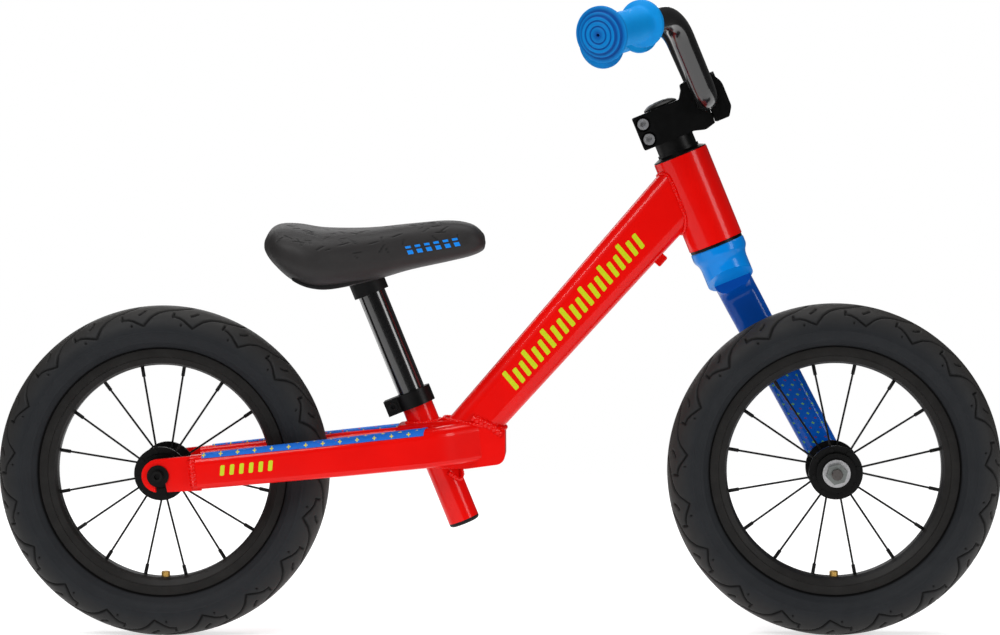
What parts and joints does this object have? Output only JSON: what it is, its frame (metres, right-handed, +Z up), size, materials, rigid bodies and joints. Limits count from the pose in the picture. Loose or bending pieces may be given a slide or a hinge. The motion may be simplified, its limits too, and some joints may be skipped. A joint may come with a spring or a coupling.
{
  "type": "balance bike",
  "caption": "Child's two-wheeled balance bike with a single-sided fork, clamped saddle post, riser handlebar and spoked wheels on air tyres.",
  "frame": {"origin": "on the ground, midway between the two axles, on the bike's centre plane", "axes": "+X forward, towards the front wheel; +Y to the rider's left; +Z up"},
  "size_m": [0.92, 0.443, 0.5775],
  "materials": {
    "frame_paint": "gloss red paint",
    "fork_paint": "gloss blue paint",
    "foot_grip_tape": "printed grip tape",
    "black_plastic": "satin moulded",
    "black_anodised": "black anodised",
    "black_gloss_paint": "gloss black paint",
    "black_steel": "black oxide",
    "bare_steel": "zinc plated",
    "saddle_foam": "moulded self-skinned foam",
    "grip_rubber": "soft moulded rubber",
    "tyre_rubber": "moulded tread and sidewall",
    "butyl_rubber": "butyl",
    "valve_brass": "turned"
  },
  "bodies": {
    "frame": {"head_tube": "frame_paint", "headset_bearings": "bare_steel", "junction_shell": "frame_paint", "seat_tube": "frame_paint", "seat_tube_plug": "black_plastic", "down_tube": "frame_paint", "down_tube_boss": "frame_paint", "chainstay_right": "frame_paint", "chainstay_left": "frame_paint", "dropout_right": "frame_paint", "dropout_left": "frame_paint", "foot_grip_right": "foot_grip_tape", "foot_grip_left": "foot_grip_tape", "rear_axle": "bare_steel", "rear_axle_spacers": "bare_steel", "rear_axle_washers": "black_steel", "rear_axle_bolts": "black_steel", "seat_clamp_collar": "black_anodised", "seat_clamp_bolt": "black_steel"},
    "seat": {"seat_post": "black_gloss_paint", "saddle_socket": "black_plastic", "saddle_base": "black_plastic", "saddle_pad": "saddle_foam"},
    "fork": {"steerer_tube": "bare_steel", "crown_race": "black_steel", "compression_ring": "bare_steel", "headset_cover": "black_anodised", "headset_spacer": "black_anodised", "fork_crown": "fork_paint", "fork_leg": "fork_paint", "front_axle": "bare_steel", "front_axle_spacers": "bare_steel", "front_axle_washers": "bare_steel", "front_axle_nuts": "bare_steel", "stem_body": "black_anodised", "stem_faceplate": "black_anodised", "stem_pinch_bolts": "bare_steel", "faceplate_bolts": "black_steel", "top_cap": "black_anodised", "top_cap_bolt": "black_steel", "star_nut": "bare_steel"},
    "handlebar": {"handlebar": "black_gloss_paint", "grip_right": "grip_rubber", "grip_left": "grip_rubber"},
    "front_wheel": {"front_tyre": "tyre_rubber", "front_inner_tube": "butyl_rubber", "front_valve": "valve_brass", "front_rim": "black_anodised", "front_spokes": "black_steel", "front_spoke_nipples": "black_steel", "front_hub_shell": "black_anodised", "front_hub_bearings": "bare_steel"},
    "rear_wheel": {"rear_tyre": "tyre_rubber", "rear_inner_tube": "butyl_rubber", "rear_valve": "valve_brass", "rear_rim": "black_anodised", "rear_spokes": "black_steel", "rear_spoke_nipples": "black_steel", "rear_hub_shell": "black_anodised", "rear_hub_bearings": "bare_steel"}
  },
  "joints": [
    {"name": "steering", "type": "hinge", "parent": "frame", "child": "fork", "pos_m": [0.1996, 0, 0.3611], "axis": [-0.3746, 0, 0.9272], "continuous": true},
    {"name": "bar_angle", "type": "hinge", "parent": "fork", "child": "handlebar", "pos_m": [0.19047, 0, 0.4918], "axis": [0, 1, 0], "range_deg": [-15, 15]},
    {"name": "front_wheel_spin", "type": "hinge", "parent": "fork", "child": "front_wheel", "pos_m": [0.3075, 0, 0.1525], "axis": [0, 1, 0], "continuous": true},
    {"name": "rear_wheel_spin", "type": "hinge", "parent": "frame", "child": "rear_wheel", "pos_m": [-0.3075, 0, 0.1525], "axis": [0, 1, 0], "continuous": true},
    {"name": "seat_height", "type": "slide", "parent": "frame", "child": "seat", "axis": [-0.3714, 0, 0.9285], "range_m": [-0.05, 0.02]}
  ]
}
